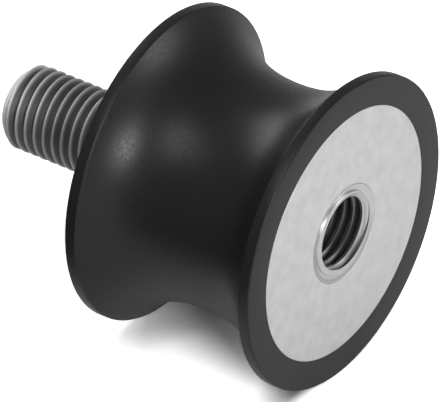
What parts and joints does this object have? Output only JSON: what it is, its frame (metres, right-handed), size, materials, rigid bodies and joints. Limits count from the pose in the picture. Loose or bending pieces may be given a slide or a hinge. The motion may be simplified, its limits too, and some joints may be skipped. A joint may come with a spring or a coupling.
{
  "type": "waisted rubber buffer",
  "caption": "Waisted rubber buffer on flush steel end plates, with a tapped bush at one end and a threaded stud at the other.",
  "frame": {"origin": "centre of the tapped end face, which is the part's lowest plane", "axes": "+Z along the buffer's axis from the tapped end to the stud's tip; X and Y are free, because only the threads' starts differ round the axis"},
  "size_m": [0.06, 0.06, 0.071],
  "materials": {
    "black_rubber": "matte black moulded rubber with a soft sheen",
    "plate_steel": "dull light grey zinc-plated steel, faintly mottled",
    "thread_steel": "bright turned and plated steel"
  },
  "bodies": {
    "root": {"rubber_body": "black_rubber", "tapped_end_plate": "plate_steel", "threaded_bush": "thread_steel", "stud_end_plate": "plate_steel", "stud": "thread_steel"}
  },
  "joints": []
}
